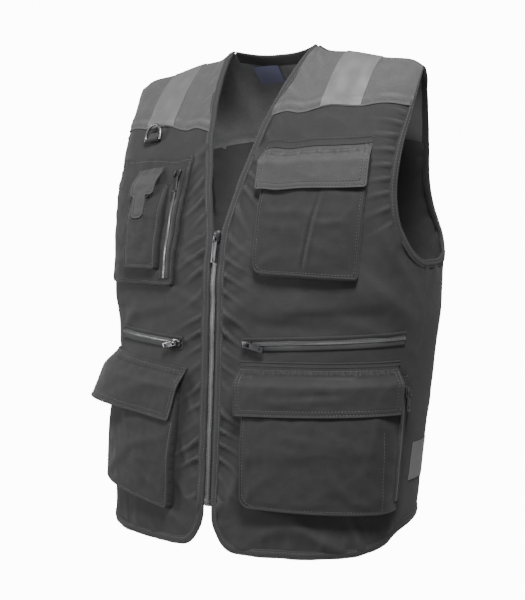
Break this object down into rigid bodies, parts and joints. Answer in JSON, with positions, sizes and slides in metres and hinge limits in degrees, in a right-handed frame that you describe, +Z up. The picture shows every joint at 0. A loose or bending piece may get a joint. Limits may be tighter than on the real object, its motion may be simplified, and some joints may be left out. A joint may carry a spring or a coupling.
{
  "type": "utility work vest",
  "caption": "Sleeveless zip-front work vest in dark grey twill with a V neck, bellows pockets under flaps, reflective shoulder tape and a D-ring.",
  "frame": {"origin": "midway between the shoulders, on the height of the shoulder ridge where the vest rests", "axes": "+Z up, the front faces -Y, the wearer's left is +X"},
  "size_m": [0.496, 0.3063, 0.663],
  "materials": {
    "twill": "dark grey twill, matt",
    "yoke": "dark grey twill of the yokes, matt",
    "binding": "dark grey folded binding, matt",
    "pocket": "dark grey twill, matt",
    "reflective": "light grey retroreflective cloth tape, satin",
    "zip_tape": "near-black woven zip tape",
    "zip_metal": "dark moulded zip teeth and sliders",
    "ring_metal": "dark gunmetal finish",
    "label": "bare dark navy woven patch"
  },
  "bodies": {
    "vest": {"front_left_panel": "twill", "front_left_yoke": "yoke", "left_front_binding": "binding", "front_right_panel": "twill", "front_right_yoke": "yoke", "right_front_binding": "binding", "back_panel": "twill", "back_yoke": "yoke", "back_neck_binding": "binding", "back_hem_binding": "binding", "left_armhole_binding": "binding", "right_armhole_binding": "binding", "chest_band": "twill", "chest_pocket": "pocket", "chest_flap": "pocket", "cargo_strip": "binding", "left_cargo_pocket": "pocket", "left_cargo_flap": "pocket", "right_cargo_pocket": "pocket", "right_cargo_flap": "pocket", "map_pocket": "pocket", "phone_pocket": "pocket", "phone_flap": "pocket", "left_shoulder_tape": "reflective", "right_shoulder_tape": "reflective", "back_reflective_band": "reflective", "main_zip_left_tape": "zip_tape", "main_zip_right_tape": "zip_tape", "main_zip_chain": "zip_metal", "main_zip_slider": "zip_metal", "main_zip_end_box": "zip_metal", "left_pocket_zip_tape": "zip_tape", "left_pocket_zip_chain": "zip_metal", "left_pocket_zip_slider": "zip_metal", "right_pocket_zip_tape": "zip_tape", "right_pocket_zip_chain": "zip_metal", "right_pocket_zip_slider": "zip_metal", "map_pocket_zip_tape": "zip_tape", "map_pocket_zip_chain": "zip_metal", "map_pocket_zip_slider": "zip_metal", "side_pocket_zip_tape": "zip_tape", "side_pocket_zip_chain": "zip_metal", "side_pocket_zip_slider": "zip_metal", "d_ring_tab": "twill", "neck_label": "label"},
    "main_zip_pull": {"main_zip_pull": "zip_metal"},
    "left_pocket_zip_pull": {"left_pocket_zip_pull": "zip_metal"},
    "right_pocket_zip_pull": {"right_pocket_zip_pull": "zip_metal"},
    "map_pocket_zip_pull": {"map_pocket_zip_pull": "zip_metal"},
    "side_pocket_zip_pull": {"side_pocket_zip_pull": "zip_metal"},
    "d_ring": {"d_ring": "ring_metal"}
  },
  "joints": [
    {"name": "main_zip_pull_hinge", "type": "hinge", "parent": "vest", "child": "main_zip_pull", "pos_m": [0.00001, -0.12995, -0.23284], "axis": [-1, -0.0018, 0.0003], "range_deg": [0, 150]},
    {"name": "left_pocket_zip_pull_hinge", "type": "hinge", "parent": "vest", "child": "left_pocket_zip_pull", "pos_m": [0.05815, -0.14258, -0.36929], "axis": [-0.2234, -0.0626, -0.9727], "range_deg": [0, 150]},
    {"name": "right_pocket_zip_pull_hinge", "type": "hinge", "parent": "vest", "child": "right_pocket_zip_pull", "pos_m": [-0.05808, -0.14274, -0.37217], "axis": [-0.2399, 0.0644, 0.9687], "range_deg": [0, 150]},
    {"name": "map_pocket_zip_pull_hinge", "type": "hinge", "parent": "vest", "child": "map_pocket_zip_pull", "pos_m": [-0.07874, -0.11567, -0.14864], "axis": [-0.9632, 0.0224, -0.268], "range_deg": [0, 150]},
    {"name": "side_pocket_zip_pull_hinge", "type": "hinge", "parent": "vest", "child": "side_pocket_zip_pull", "pos_m": [0.2405, -0.04394, -0.42689], "axis": [0.0843, -0.9925, 0.0889], "range_deg": [0, 150]},
    {"name": "d_ring_hinge", "type": "hinge", "parent": "vest", "child": "d_ring", "pos_m": [-0.14995, -0.08088, -0.09874], "axis": [0.9865, -0.1372, 0.089], "range_deg": [0, 145]}
  ]
}
